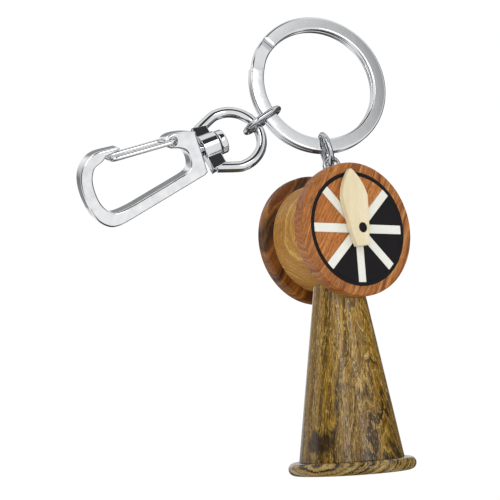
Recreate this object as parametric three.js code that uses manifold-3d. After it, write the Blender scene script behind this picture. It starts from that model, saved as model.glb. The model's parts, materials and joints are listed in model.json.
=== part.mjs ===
// Key ring with a wooden ship's telegraph charm and a swivel snap hook, hanging from its split ring.
// Millimetres, +Z up, X to the right along the ring's plane, -Y towards the front.
// The model is drawn about the middle of the upright split ring, which then leans back. The whole is
// moved so that the origin is the hang point: the top of the ring's bore, where a finger or a peg
// carries the object.
import * as THREE from "three";
import { mergeVertices } from "three/addons/utils/BufferGeometryUtils.js";
import Module from "manifold-3d";

const wasm = await Module();
wasm.setup();

// ---------------------------------------------------------------- driving dimensions (mm, degrees)
const GAP = 0.3;                       // glue line or loose fit between neighbouring pieces

const RING_OUTER_R = 15;               // split ring: 30 mm outside, 24.1 mm bore
const RING_BORE_R = 12.05;
const RING_LEAF_T = 1.1;               // thickness of the flat wire
const RING_LEAF_PITCH = 1.2;           // centre distance of its two turns
const RING_FRONT_END = 139;            // angle of the front turn's cut end, from +X towards +Z
const RING_BACK_END = 167;             // angle of the back turn's cut end
const RING_JOG = 26;                   // angle over which the wire steps from one turn to the other
const RING_CORNER = 0.35;              // the flat wire's edges are eased this much
const RING_LEAN = 4.5;                 // its top leans back, turned about its lowest point
const RING_X = 0.3;

const LINK_WIRE_R = 0.62;              // oval jump links
const LINK_BEND_R = 2.7;               // centreline radius of their two ends
const LINK_CUT = 0.25;                 // slit where each link was closed
const HOOK_LINK_LENGTH = 9.6;
const HOOK_LINK_ANGLE = 212;           // direction in which it leaves the ring
const HOOK_LINK_INNER = 10.2;          // distance of its inner end from the middle of the model
const HOOK_LINK_ROLL = 8;              // turned about its own length
const HOOK_LINK_Y = 0.4;
const CHARM_LINK_LENGTH = 7.75;
const CHARM_LINK_ANGLE = -77;
const CHARM_LINK_INNER = 10.85;
const CHARM_LINK_ROLL = 6.5;
const CHARM_LINK_SHIFT = -2.73;        // it leans across the ring instead of pointing at its centre

const CHARM_X = 1.08;                  // axis of the wooden charm
const CHARM_Y = 0.3;
const CHARM_TURN = 15.7;               // its dial is turned this far from the ring's plane
const HEAD_Z = -32.2;                  // axis of the drum head
const HEAD_HALF = 8.2;                  // head centre to the front and the back face
const FRONT_DISC_T = 3.2;
const BACK_DISC_T = 2.6;
const DISC_R = 13.6;
const DRUM_R = 11.4;
const FOOT_Z = -80.25;                 // underside of the base flange
const FLANGE_T = 2.5;
const FLANGE_R = 12.8;
const PEDESTAL_TOP_R = 5.2;            // where the pedestal meets the drum
const PEDESTAL_FOOT_R = 10.55;
const TENON_R = 2.4;                   // tenons at both ends of the pedestal
const TENON_LENGTH = 4;

const DIAL_R = 11.55;                  // outer edge of the inlaid dark ring
const DIAL_RING_W = 0.75;
const INLAY_T = 0.7;
const SPOKE_W = 1.8;
const SPOKE_INNER = 2.7;
const SPOKE_OUTER = 10.5;
const HUB_R = 2.3;
const SPOKES = 8;

const POINTER_T = 1.25;
const POINTER_LIFT = 0.25;             // clear of the dial
const POINTER_TILT = 6;                // leans to the left of upright
const POINTER_TIP = 12;                // pin to tip
const POINTER_TAIL = 3.6;              // pin to cut end
const POINTER_SIDE = 0.6;              // the pin sits this far off the pointer's middle
const PIN_R = 0.98;
const PIN_PROUD = 1.75;

const EYE_LOOP_R = 1.9;                  // screw eye: centreline radius of its loop
const EYE_WIRE_R = 0.43;
const EYE_X = 0.75;                     // off the charm's axis
const EYE_Z = -17.75;                   // centre of the loop
const EYE_SHANK_R = 0.55;

const HOOK_X = -26.9;                  // middle of the hook plate's swivel end
const HOOK_Z = -14.55;
const HOOK_RISE = 21;                  // swivel axis above the horizontal
const HOOK_ROLL = 20;                  // plate turned about the swivel axis
const EYE_ROLL = -14;                  // swivel eye turned about the same axis
const PLATE_T = 3.8;
const PIVOT_U = -4.8;                  // gate pivot, along and across the plate
const PIVOT_V = 4;
const PIVOT_HOLE_R = 0.9;
const GATE_END_U = -17.8;              // where the gate's bend lies under the nose
const GATE_END_V = 5.15;
const GATE_WIRE_R = 0.5;
const GATE_SIDE = PLATE_T / 2 + GATE_WIRE_R + 0.25;

const SWIVEL_PIN_R = 1.15;
const SWIVEL_BORE_R = 1.35;
const COLLAR_START = 0.75;             // distances along the swivel axis from the plate's end
const COLLAR_END = 4.2;
const COLLAR_DROP = 0.35;              // collar and bow sit this far below the rivet's axis
const BARREL_R = 2.75;
const RIVET_HEAD_R = 2.5;
const RIVET_HEAD_END = 6;
const BOW_R = 6.2;                     // centreline of the swivel eye's round end
const BOW_CENTRE = 7.6;
const BOW_WIRE_R = 1.1;

// ---------------------------------------------------------------- materials
const metal = (color, roughness) => new THREE.MeshStandardMaterial({ color, roughness, metalness: 1 });
const dull = (color, roughness) => new THREE.MeshStandardMaterial({ color, roughness, metalness: 0 });
const chrome = metal(0xd4d6d8, 0.12);
const rosewood = dull(0xa5622f, 0.4);
const drumWood = dull(0xb0803a, 0.45);
const pedestalWood = dull(0x6b522a, 0.35);
const ebony = dull(0x1d1b20, 0.45);
const bone = dull(0xe9ebe0, 0.45);
const ivoryWood = dull(0xe6d9b0, 0.5);

// ---------------------------------------------------------------- small tools
const rad = THREE.MathUtils.degToRad;

function mesh(name, geometry, material) {
  const m = new THREE.Mesh(geometry, material);
  m.name = name;
  return m;
}

// [[x, y], ...] as the points of an outline, a spline or a turned profile.
const flat = (pairs) => pairs.map(([x, y]) => new THREE.Vector2(x, y));

// A closed geometry as a solid that can be cut and joined.
function solid(geometry) {
  const g = geometry.clone();
  g.deleteAttribute("normal");
  g.deleteAttribute("uv");
  const merged = mergeVertices(g, 1e-4);
  return new wasm.Manifold(new wasm.Mesh({
    numProp: 3,
    vertProperties: new Float32Array(merged.attributes.position.array),
    triVerts: new Uint32Array(merged.index.array),
  }));
}

function geometryOf(body) {
  const { vertProperties, triVerts } = body.getMesh();
  const g = new THREE.BufferGeometry();
  g.setAttribute("position", new THREE.BufferAttribute(vertProperties, 3));
  g.setIndex(new THREE.BufferAttribute(triVerts, 1));
  g.computeVertexNormals();
  return g;
}

// Cylinder along X, Y or Z between two stations on that axis.
function rod(axis, r, from, to, segments = 32) {
  const g = new THREE.CylinderGeometry(r, r, to - from, segments);
  g.translate(0, (from + to) / 2, 0);
  if (axis === "x") g.rotateZ(-Math.PI / 2);
  if (axis === "z") g.rotateX(Math.PI / 2);
  return g;
}

// A flat outline in X and Z, given thickness along Y from one station to the other.
function slab(shape, from, to, curveSegments = 12) {
  const g = new THREE.ExtrudeGeometry(shape, { depth: to - from, bevelEnabled: false, curveSegments });
  g.rotateX(Math.PI / 2);
  g.translate(0, to, 0);
  return g;
}

function roundSection(r, sides = 8) {
  const points = [];
  for (let i = 0; i < sides; i++) {
    const a = ((i + 0.5) / sides) * 2 * Math.PI;
    points.push(new THREE.Vector2(r * Math.cos(a), r * Math.sin(a)));
  }
  return new THREE.Shape(points);
}

function sweep(section, path, steps) {
  const options = { steps, bevelEnabled: false, extrudePath: path, curveSegments: 1 };
  return new THREE.ExtrudeGeometry(section, options);
}

function circle(r) {
  return new THREE.Shape().absarc(0, 0, r, 0, 2 * Math.PI, false);
}

// ---------------------------------------------------------------- split ring
// One flat wire that goes round nearly twice. It steps from the front turn to the back turn.
const RING_MIDDLE = (RING_OUTER_R + RING_BORE_R) / 2;

class SplitRingPath extends THREE.Curve {
  getPoint(t, target = new THREE.Vector3()) {
    const lap = RING_BACK_END - RING_FRONT_END;
    const frontSpan = 360 - lap;
    const travelled = t * (2 * frontSpan + lap);
    const step = THREE.MathUtils.smoothstep(travelled, frontSpan, frontSpan + RING_JOG);
    const a = rad(RING_FRONT_END - travelled);
    const y = (step - 0.5) * RING_LEAF_PITCH;
    return target.set(RING_MIDDLE * Math.cos(a), y, RING_MIDDLE * Math.sin(a));
  }
}

function splitRing() {
  const w = (RING_OUTER_R - RING_BORE_R) / 2;
  const t = RING_LEAF_T / 2;
  const c = RING_CORNER;
  const section = new THREE.Shape(flat([
    [-t, c - w], [c - t, -w], [t - c, -w], [t, c - w], [t, w - c], [t - c, w], [c - t, w], [-t, w - c],
  ]));
  const ring = mesh("split_ring", sweep(section, new SplitRingPath(), 96), chrome);
  const lean = rad(RING_LEAN);
  ring.rotation.x = -lean;
  ring.position.set(RING_X, RING_MIDDLE * Math.sin(lean), RING_MIDDLE * (Math.cos(lean) - 1));
  return ring;
}

// ---------------------------------------------------------------- jump links
// Oval loop in X and Y, lengthwise along X, with its slit in the middle of the +Y side.
class OvalPath extends THREE.Curve {
  constructor(length) {
    super();
    this.straight = length - 2 * LINK_WIRE_R - 2 * LINK_BEND_R;
  }
  getPoint(t, target = new THREE.Vector3()) {
    const bend = Math.PI * LINK_BEND_R;
    const whole = 2 * this.straight + 2 * bend;
    const half = this.straight / 2;
    let s = LINK_CUT / 2 + t * (whole - LINK_CUT);
    if (s <= half) return target.set(s, LINK_BEND_R, 0);
    s -= half;
    if (s <= bend) {
      const a = Math.PI / 2 - s / LINK_BEND_R;
      return target.set(half + LINK_BEND_R * Math.cos(a), LINK_BEND_R * Math.sin(a), 0);
    }
    s -= bend;
    if (s <= this.straight) return target.set(half - s, -LINK_BEND_R, 0);
    s -= this.straight;
    if (s <= bend) {
      const a = -Math.PI / 2 - s / LINK_BEND_R;
      return target.set(-half + LINK_BEND_R * Math.cos(a), LINK_BEND_R * Math.sin(a), 0);
    }
    return target.set(-half + s - bend, LINK_BEND_R, 0);
  }
}

function link(name, length, angle, roll, inner, shift = 0) {
  const m = mesh(name, sweep(roundSection(LINK_WIRE_R), new OvalPath(length), 44), chrome);
  const a = rad(angle);
  const middle = inner + length / 2;
  m.position.set(shift + middle * Math.cos(a), 0, middle * Math.sin(a));
  m.rotation.y = -a;
  m.rotateX(rad(roll));
  return m;
}

function hookLink() {
  const m = link("link_hook", HOOK_LINK_LENGTH, HOOK_LINK_ANGLE, HOOK_LINK_ROLL, HOOK_LINK_INNER);
  m.position.y = HOOK_LINK_Y;
  return m;
}

function charmLink() {
  const place = [CHARM_LINK_ANGLE, CHARM_LINK_ROLL, CHARM_LINK_INNER, CHARM_LINK_SHIFT];
  return link("link_charm", CHARM_LINK_LENGTH, ...place);
}

// ---------------------------------------------------------------- snap hook
// Everything here is drawn with X along the swivel axis from the plate's end, Z across the plate
// towards the gate, and -Y towards the front.
function hookOutline() {
  const s = new THREE.Shape();
  s.moveTo(0.2, -4.4);
  s.lineTo(0.2, 4.2);
  s.splineThru(flat([
    [-1.6, 4.9], [-3.6, 5.4], [-5.1, 5.5], [-6.2, 5.15], [-6.6, 4.4], [-6.4, 3.5], [-5.6, 2.75],
  ]));
  s.splineThru(flat([[-4.1, 2.2], [-2.9, 1.3], [-2.5, -0.3], [-2.8, -1.9], [-3.9, -2.8], [-5.6, -3.2]]));
  s.lineTo(-16.4, -4.9);
  s.splineThru(flat([
    [-19.3, -5.1], [-21.2, -4.7], [-22.5, -2.7], [-22.9, 0], [-22.6, 2.6], [-21.5, 4.5], [-20.3, 5.0],
  ]));
  s.lineTo(-19.4, 5.3);
  s.lineTo(-18.7, 5.95);
  s.lineTo(-15.9, 6.05);
  s.splineThru(flat([[-15.4, 6.45], [-15.9, 6.95]]));
  s.lineTo(-18.4, 7.3);
  s.splineThru(flat([
    [-20.3, 7.4], [-22.2, 6.8], [-24.0, 5.2], [-25.0, 2.9], [-25.3, 0.2], [-25.1, -2.5], [-24.3, -5.4],
    [-22.5, -7.3], [-20.6, -7.8], [-18.2, -7.6],
  ]));
  s.lineTo(-0.6, -4.8);
  s.lineTo(0.2, -4.4);
  return s;
}

function hookBody() {
  const plate = solid(slab(hookOutline(), -PLATE_T / 2, PLATE_T / 2, 5));
  const pivot = rod("y", PIVOT_HOLE_R, -PLATE_T, PLATE_T, 20);
  pivot.translate(PIVOT_U, 0, PIVOT_V);
  const socket = rod("x", SWIVEL_BORE_R, -2, 1, 20);
  return mesh("hook_body", geometryOf(plate.subtract(solid(pivot)).subtract(solid(socket))), chrome);
}

// One wire: both ends sit in the pivot hole, its two legs run along the plate's faces, and the bend
// between them lies under the nose.
function gateWire() {
  const stop = 0.35;
  const corner = 1;
  const along = new THREE.Vector3(GATE_END_U - PIVOT_U, 0, GATE_END_V - PIVOT_V).normalize();
  const at = (u, v, w) => new THREE.Vector3(u, -w, v);
  const leg = (side) => [
    at(PIVOT_U, PIVOT_V, side * stop),
    at(PIVOT_U, PIVOT_V, side * GATE_SIDE),
    at(GATE_END_U, GATE_END_V, side * GATE_SIDE),
  ];
  const corners = [...leg(1), ...leg(-1).reverse()];
  const path = new THREE.CurvePath();
  let from = corners[0];
  for (let i = 1; i < corners.length - 1; i++) {
    const back = corners[i - 1].clone().sub(corners[i]).setLength(corner).add(corners[i]);
    const on = corners[i + 1].clone().sub(corners[i]).setLength(corner).add(corners[i]);
    path.add(new THREE.LineCurve3(from, back));
    path.add(new THREE.QuadraticBezierCurve3(back, corners[i], on));
    from = on;
  }
  path.add(new THREE.LineCurve3(from, corners.at(-1)));
  return mesh("gate_wire", sweep(roundSection(GATE_WIRE_R), path, 84), chrome);
}

function swivelRivet() {
  const profile = flat([
    [0, -1.7],
    [SWIVEL_PIN_R - 0.2, -1.7],
    [SWIVEL_PIN_R, -1.5],
    [SWIVEL_PIN_R, COLLAR_END + GAP],
    [RIVET_HEAD_R, COLLAR_END + GAP],
    [RIVET_HEAD_R, RIVET_HEAD_END - 0.3],
    [RIVET_HEAD_R - 0.3, RIVET_HEAD_END],
    [0, RIVET_HEAD_END],
  ]);
  const g = new THREE.LatheGeometry(profile, 28);
  g.rotateZ(-Math.PI / 2);
  return mesh("swivel_rivet", g, chrome);
}

// The eye: a bow of round wire whose two ends run into a flat collar with a barrel on the rivet.
function swivelEye() {
  const points = [new THREE.Vector3(2, 0, -4.4)];
  for (let a = -105; a <= 105; a += 15) {
    points.push(new THREE.Vector3(BOW_CENTRE + BOW_R * Math.cos(rad(a)), 0, BOW_R * Math.sin(rad(a))));
  }
  points.push(new THREE.Vector3(2, 0, 4.4));
  const bow = solid(sweep(roundSection(BOW_WIRE_R), new THREE.CatmullRomCurve3(points), 44));
  const collarShape = new THREE.Shape(flat([[COLLAR_START, -5], [3.9, -4.5], [3.9, 4.5], [COLLAR_START, 5]]));
  const collar = solid(slab(collarShape, -1.15, 1.15));
  const barrel = solid(rod("x", BARREL_R, COLLAR_START, COLLAR_END, 28));
  const bore = solid(rod("x", SWIVEL_BORE_R, COLLAR_START - 1, COLLAR_END + 1, 28));
  const loop = bow.add(collar).translate([0, 0, -COLLAR_DROP]);
  return mesh("swivel_eye", geometryOf(loop.add(barrel).subtract(bore)), chrome);
}

function snapHook() {
  const axis = new THREE.Group();
  axis.position.set(HOOK_X, 0, HOOK_Z);
  axis.rotation.y = -rad(HOOK_RISE);
  const plate = new THREE.Group();
  plate.rotation.x = rad(HOOK_ROLL);
  plate.add(hookBody(), gateWire(), swivelRivet());
  const eye = new THREE.Group();
  eye.rotation.x = rad(EYE_ROLL);
  eye.add(swivelEye());
  axis.add(plate, eye);
  return axis;
}

// ---------------------------------------------------------------- wooden charm
// Drawn about its own upright axis, with the dial facing -Y.
const drumFront = -HEAD_HALF + FRONT_DISC_T;
const drumBack = HEAD_HALF - BACK_DISC_T;
const atHead = (geometry) => geometry.translate(0, 0, HEAD_Z);

function turnedDisc(r, from, to) {
  const e = 0.35;
  const profile = flat([[0, from], [r - e, from], [r, from + e], [r, to - e], [r - e, to], [0, to]]);
  return atHead(new THREE.LatheGeometry(profile, 56));
}

function drum() {
  const top = HEAD_Z + DRUM_R;
  const bottom = HEAD_Z - DRUM_R;
  const eyeHoleDepth = 6;
  const wood = solid(atHead(rod("y", DRUM_R, drumFront + GAP / 2, drumBack - GAP / 2, 48)))
    .subtract(solid(atHead(rod("y", 1.8, -HEAD_HALF, HEAD_HALF))))
    .subtract(solid(rod("z", EYE_SHANK_R + GAP, top - eyeHoleDepth, top + 1, 16)).translate([EYE_X, 0, 0]))
    .subtract(solid(rod("z", TENON_R + GAP, bottom - 1, bottom + TENON_LENGTH + GAP, 24)));
  return mesh("drum", geometryOf(wood), drumWood);
}

function headDowel() {
  return mesh("head_dowel", atHead(rod("y", 1.5, drumFront - 1.2, drumBack + 1.2, 20)), ivoryWood);
}

function frontDisc() {
  const face = -HEAD_HALF;
  const wood = solid(turnedDisc(DISC_R, face, drumFront - GAP / 2))
    .subtract(solid(atHead(rod("y", DIAL_R + GAP / 2, face - 1, face + INLAY_T + GAP, 64))))
    .subtract(solid(atHead(rod("y", 1.8, drumFront - 1.5, drumFront + 1, 20))));
  return mesh("front_disc", geometryOf(wood), rosewood);
}

function backDisc() {
  const wood = solid(turnedDisc(DISC_R, drumBack + GAP / 2, HEAD_HALF))
    .subtract(solid(atHead(rod("y", 1.8, drumBack - 1, drumBack + 1.5, 20))));
  return mesh("back_disc", geometryOf(wood), rosewood);
}

// Each inlay is a slab of the dial's face.
function inlay(name, shape, material, curveSegments) {
  return mesh(name, atHead(slab(shape, -HEAD_HALF, -HEAD_HALF + INLAY_T, curveSegments)), material);
}

function dialRing() {
  const shape = circle(DIAL_R);
  shape.holes.push(circle(DIAL_R - DIAL_RING_W));
  return inlay("dial_ring", shape, ebony, 32);
}

function dialHub() {
  const shape = circle(HUB_R);
  shape.holes.push(circle(PIN_R + GAP));
  return inlay("dial_hub", shape, ebony, 12);
}

function spoke(index) {
  const half = SPOKE_W / 2;
  const turn = (index * 2 * Math.PI) / SPOKES;
  const corners = flat([[SPOKE_INNER, -half], [SPOKE_OUTER, -half], [SPOKE_OUTER, half], [SPOKE_INNER, half]])
    .map((corner) => corner.rotateAround(new THREE.Vector2(), turn));
  return inlay(`spoke_${index + 1}`, new THREE.Shape(corners), bone);
}

// The wedge that follows spoke number index, its straight sides parallel to the two spokes.
function wedge(index, name, material) {
  const step = (2 * Math.PI) / SPOKES;
  const start = index * step;
  const r = DIAL_R - DIAL_RING_W - GAP;
  const side = SPOKE_W / 2 + GAP;
  const slant = Math.asin(side / r);
  const apex = side / Math.sin(step / 2);
  const tip = apex > HUB_R + GAP ? apex : HUB_R + GAP;
  const middle = start + step / 2;
  const shape = new THREE.Shape();
  shape.moveTo(tip * Math.cos(middle), tip * Math.sin(middle));
  shape.lineTo(r * Math.cos(start + slant), r * Math.sin(start + slant));
  shape.absarc(0, 0, r, start + slant, start + step - slant, false);
  return inlay(name, shape, material, 8);
}

// Spoke 1 points to the right; the numbers run anticlockwise. Wood fills the four wedges from the
// upper right spoke round over the top to the lower left one, ebony the other four.
function dial() {
  const pieces = [dialRing(), dialHub()];
  for (let i = 0; i < SPOKES; i++) pieces.push(spoke(i));
  for (let k = 0; k < 4; k++) {
    pieces.push(wedge(1 + k, `dial_wood_${k + 1}`, rosewood));
    pieces.push(wedge((5 + k) % SPOKES, `dial_ebony_${k + 1}`, ebony));
  }
  return pieces;
}

function pointer() {
  const back = -HEAD_HALF - POINTER_LIFT;
  const s = new THREE.Shape();
  s.moveTo(-1.5, -POINTER_TAIL);
  s.lineTo(1.5, -POINTER_TAIL);
  s.quadraticCurveTo(2.7, 1.5, 3.15, 6.4);
  s.quadraticCurveTo(2.6, 9.6, 0.15, POINTER_TIP);
  s.lineTo(-0.15, POINTER_TIP);
  s.quadraticCurveTo(-2.6, 9.6, -3.15, 6.4);
  s.quadraticCurveTo(-2.7, 1.5, -1.5, -POINTER_TAIL);
  s.holes.push(new THREE.Path().absarc(POINTER_SIDE, 0, PIN_R + 0.12, 0, 2 * Math.PI, true));
  const g = slab(s, back - POINTER_T, back, 10);
  g.translate(-POINTER_SIDE, 0, 0);
  g.rotateY(-rad(POINTER_TILT));
  return mesh("pointer", atHead(g), ivoryWood);
}

function pointerPin() {
  const inDial = -HEAD_HALF + INLAY_T;
  return mesh("pointer_pin", atHead(rod("y", PIN_R, -HEAD_HALF - PIN_PROUD, inDial, 20)), ebony);
}

// A wire loop on a shank that is screwed into the top of the drum.
function screwEye() {
  const loop = new THREE.TorusGeometry(EYE_LOOP_R, EYE_WIRE_R, 8, 28);
  loop.rotateX(Math.PI / 2);
  loop.translate(0, 0, EYE_Z);
  const shank = rod("z", EYE_SHANK_R, HEAD_Z + DRUM_R - 5.5, EYE_Z - EYE_LOOP_R, 14);
  return mesh("screw_eye", geometryOf(solid(loop).add(solid(shank)).translate([EYE_X, 0, 0])), chrome);
}

// Turned cone with a tenon at each end, its top hollowed to sit against the drum and the two discs.
function pedestal() {
  const foot = FOOT_Z + FLANGE_T + GAP / 2;
  const neck = HEAD_Z - DRUM_R;
  const rise = 2.2;
  const slope = (PEDESTAL_FOOT_R - PEDESTAL_TOP_R) / (neck - foot);
  const profile = flat([
    [0, foot],
    [PEDESTAL_FOOT_R, foot],
    [PEDESTAL_TOP_R - slope * rise, neck + rise],
    [0, neck + rise],
  ]);
  const cone = new THREE.LatheGeometry(profile, 56);
  cone.rotateX(Math.PI / 2);
  const wood = solid(cone)
    .subtract(solid(atHead(rod("y", DRUM_R + GAP / 2, -HEAD_HALF, HEAD_HALF, 64))))
    .subtract(solid(atHead(rod("y", DISC_R + GAP, -HEAD_HALF - 1, drumFront + GAP, 64))))
    .subtract(solid(atHead(rod("y", DISC_R + GAP, drumBack - GAP, HEAD_HALF + 1, 64))))
    .add(solid(rod("z", TENON_R, foot - TENON_LENGTH / 2, neck + TENON_LENGTH, 24)));
  return mesh("pedestal", geometryOf(wood), pedestalWood);
}

// Round foot with a half-round edge and a socket for the pedestal's lower tenon.
function baseFlange() {
  const bulge = FLANGE_T / 2;
  const top = FOOT_Z + FLANGE_T;
  const profile = [new THREE.Vector2(0, FOOT_Z)];
  for (let a = -90; a <= 90; a += 22.5) {
    const x = FLANGE_R - bulge + bulge * Math.cos(rad(a));
    profile.push(new THREE.Vector2(x, FOOT_Z + bulge + bulge * Math.sin(rad(a))));
  }
  profile.push(new THREE.Vector2(0, top));
  const g = new THREE.LatheGeometry(profile, 56);
  g.rotateX(Math.PI / 2);
  const socket = rod("z", TENON_R + GAP, top - TENON_LENGTH / 2 - GAP / 2, top + 1, 24);
  return mesh("base_flange", geometryOf(solid(g).subtract(solid(socket))), pedestalWood);
}

function charm() {
  const g = new THREE.Group();
  g.position.set(CHARM_X, CHARM_Y, 0);
  g.rotation.z = rad(CHARM_TURN);
  g.add(drum(), headDowel(), frontDisc(), backDisc(), ...dial(), pointer(), pointerPin());
  g.add(screwEye(), pedestal(), baseFlange());
  return g;
}

// ---------------------------------------------------------------- whole object
const group = new THREE.Group();
group.position.set(
  -RING_X,
  -(RING_MIDDLE + RING_BORE_R) * Math.sin(rad(RING_LEAN)),
  RING_MIDDLE - (RING_MIDDLE + RING_BORE_R) * Math.cos(rad(RING_LEAN)),
);
group.add(splitRing());
group.add(hookLink(), charmLink());
group.add(snapHook());
group.add(charm());

export default group;
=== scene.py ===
"""Looks of the key ring with a wooden ship's telegraph charm and a swivel snap hook, around its CAD frame.

Every shape is written in millimetres in the axes of its own assembly and placed by a matrix that comes
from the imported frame. Outlines lie in X and Z, thickness runs along Y, and -Y is the front.
"""

import json
import math

import bmesh
import bpy
from mathutils import Matrix, Vector

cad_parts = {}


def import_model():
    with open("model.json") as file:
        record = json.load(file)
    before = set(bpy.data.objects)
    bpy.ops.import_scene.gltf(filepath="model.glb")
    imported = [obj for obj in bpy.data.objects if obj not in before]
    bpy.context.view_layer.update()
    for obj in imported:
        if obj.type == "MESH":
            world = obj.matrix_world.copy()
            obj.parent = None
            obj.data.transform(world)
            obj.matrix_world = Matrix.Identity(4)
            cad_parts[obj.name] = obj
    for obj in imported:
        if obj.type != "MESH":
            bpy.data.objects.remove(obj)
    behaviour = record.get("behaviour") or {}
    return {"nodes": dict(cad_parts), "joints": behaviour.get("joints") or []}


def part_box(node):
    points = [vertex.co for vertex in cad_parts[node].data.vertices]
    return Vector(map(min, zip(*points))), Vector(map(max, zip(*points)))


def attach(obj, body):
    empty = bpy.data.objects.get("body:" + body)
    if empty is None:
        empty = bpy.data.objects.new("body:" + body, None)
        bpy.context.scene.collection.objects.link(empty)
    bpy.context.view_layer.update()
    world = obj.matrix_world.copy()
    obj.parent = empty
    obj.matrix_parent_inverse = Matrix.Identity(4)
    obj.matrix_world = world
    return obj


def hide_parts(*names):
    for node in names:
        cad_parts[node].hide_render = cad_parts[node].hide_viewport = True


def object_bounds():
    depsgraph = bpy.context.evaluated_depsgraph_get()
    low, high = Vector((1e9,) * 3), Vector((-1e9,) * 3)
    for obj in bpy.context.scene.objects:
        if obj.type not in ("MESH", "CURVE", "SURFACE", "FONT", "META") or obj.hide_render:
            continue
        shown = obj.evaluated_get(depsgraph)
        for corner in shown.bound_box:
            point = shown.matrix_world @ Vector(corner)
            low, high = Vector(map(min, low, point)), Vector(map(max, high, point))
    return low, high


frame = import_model()
cad_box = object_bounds()

MM = 0.001

# ---------------------------------------------------------------- sizes, as in the CAD part (mm, degrees)
RING_OUTER_R = 15
RING_BORE_R = 12.05
RING_LEAF_T = 1.1
RING_LEAF_PITCH = 1.2
RING_FRONT_END = 139
RING_BACK_END = 167
RING_JOG = 26
RING_CORNER_R = 0.5
RING_LEAN = 4.5

LINK_WIRE_R = 0.62
LINK_BEND_R = 2.7
LINK_CUT = 0.25
HOOK_LINK_LENGTH = 9.6
HOOK_LINK_ROLL = 8
CHARM_LINK_LENGTH = 7.75
CHARM_LINK_ROLL = 6.5

PLATE_T = 3.8
PLATE_EDGE_R = 0.45
PIVOT_U, PIVOT_V = -4.8, 4
PIVOT_HOLE_R = 0.9
GATE_END_U, GATE_END_V = -17.8, 5.15
GATE_WIRE_R = 0.5
GATE_SIDE = PLATE_T / 2 + GATE_WIRE_R + 0.25
EYE_ROLL = -14
SWIVEL_PIN_R = 1.15
SWIVEL_PIN_END = -1.7
SWIVEL_BORE_R = 1.35
COLLAR_START, COLLAR_END = 0.75, 4.2
COLLAR_DROP = 0.35
COLLAR_HALF_T = 1.15
BARREL_R = 2.75
RIVET_HEAD_R = 2.5
RIVET_HEAD_START, RIVET_HEAD_END = 4.5, 6
BOW_R = 6.2
BOW_CENTRE = 7.6
BOW_SWEEP = 105
BOW_START, BOW_SIDE = 2, 4.4
BOW_WIRE_R = 1.1

HEAD_HALF = 8.2
FRONT_DISC_T = 3.2
BACK_DISC_T = 2.6
DISC_R = 13.6
DISC_EDGE_R = 0.55
DRUM_R = 11.4
FOOT = -48.05
FLANGE_T = 2.5
FLANGE_R = 12.8
PEDESTAL_TOP_R = 5.2
PEDESTAL_FOOT_R = 10.55
SEAM = 0.03

DIAL_R = 11.55
DIAL_RING_W = 0.75
INLAY_T = 0.7
INLAY_EDGE_R = 0.05
SPOKE_W = 1.8
SPOKE_CORNER_R = 0.12
HUB_R = 2.3
SPOKES = 8
POINTER_T = 1.25
POINTER_LIFT = 0.25
POINTER_TILT = 6
POINTER_TIP = 12
POINTER_TAIL = 3.6
POINTER_SIDE = 0.6
PIN_R = 0.98
PIN_PROUD = 1.75
EYE_SIDE = 0.75
EYE_HEIGHT = 14.45
EYE_LOOP_R = 1.9
EYE_WIRE_R = 0.43
EYE_SHANK_R = 0.55
EYE_SHANK_DEPTH = 5.5
THREAD_TURNS = 12
THREAD_DEPTH = 0.12

WIRE_SIDES = 24
ROUND_SIDES = 128
BARREL_SIDES = 72
BORE_SIDES = 48
PLATE_HOLE_SIDES = 40
SHANK_SIDES = 32


# ---------------------------------------------------------------- places, from the frame
joints = {joint["name"]: joint for joint in frame["joints"]}


def box_centre(node):
    low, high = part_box(node)
    return (low + high) / 2


def axes(origin, x, y):
    """Axes with X and Y along two directions at right angles."""
    x, y = Vector(x).normalized(), Vector(y).normalized()
    matrix = Matrix((x, y, x.cross(y))).transposed().to_4x4()
    matrix.translation = origin
    return matrix


def turn_by(degrees, axis):
    """A turn about the X, Y or Z axis."""
    return Matrix.Rotation(math.radians(degrees), 4, axis)


def shift_by(x, y, z):
    """A shift in millimetres."""
    return Matrix.Translation((x * MM, y * MM, z * MM))


def link_axes(node, joint, roll):
    """A link's long axis is square to its joint's axis; it is rolled about that long axis."""
    across = Vector(joints[joint]["axis"])
    return axes(box_centre(node), (across.z, 0, -across.x), (0, 1, 0)) @ turn_by(roll, "X")


swivel = joints["hook_swivel"]
foot = box_centre("base_flange")
dial_front = Vector(joints["pointer_turn"]["axis"])
head_height = joints["pointer_turn"]["pos_m"][2]

RING_AXES = Matrix.Translation(box_centre("split_ring")) @ turn_by(-RING_LEAN, "X")
HOOK_LINK_AXES = link_axes("link_hook", "hook_link_swing", HOOK_LINK_ROLL)
CHARM_LINK_AXES = link_axes("link_charm", "charm_link_swing", CHARM_LINK_ROLL)
PLATE_AXES = axes(swivel["pos_m"], swivel["axis"], -Vector(joints["gate_open"]["axis"]))
EYE_AXES = axes(swivel["pos_m"], swivel["axis"], (0, 1, 0)) @ turn_by(EYE_ROLL, "X")
CHARM_AXES = axes((foot.x, foot.y, head_height), dial_front.cross((0, 0, 1)) * -1, -dial_front)


# ---------------------------------------------------------------- outlines
def catmull_rom(t, a, b, c, d):
    """The value at t, from 0 at b to 1 at c, on a smooth curve through a, b, c and d."""
    return 0.5 * (2 * b + (c - a) * t + (2 * a - 5 * b + 4 * c - d) * t**2 + (3 * b - a - 3 * c + d) * t**3)


def spline(knots, steps):
    """Smooth curve through the knots, without the first of them."""
    padded = [knots[0], *knots, knots[-1]]
    curve = []
    for p, q, r, s in zip(padded, padded[1:], padded[2:], padded[3:]):
        for i in range(1, steps + 1):
            curve.append(tuple(catmull_rom(i / steps, *four) for four in zip(p, q, r, s)))
    return curve


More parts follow.
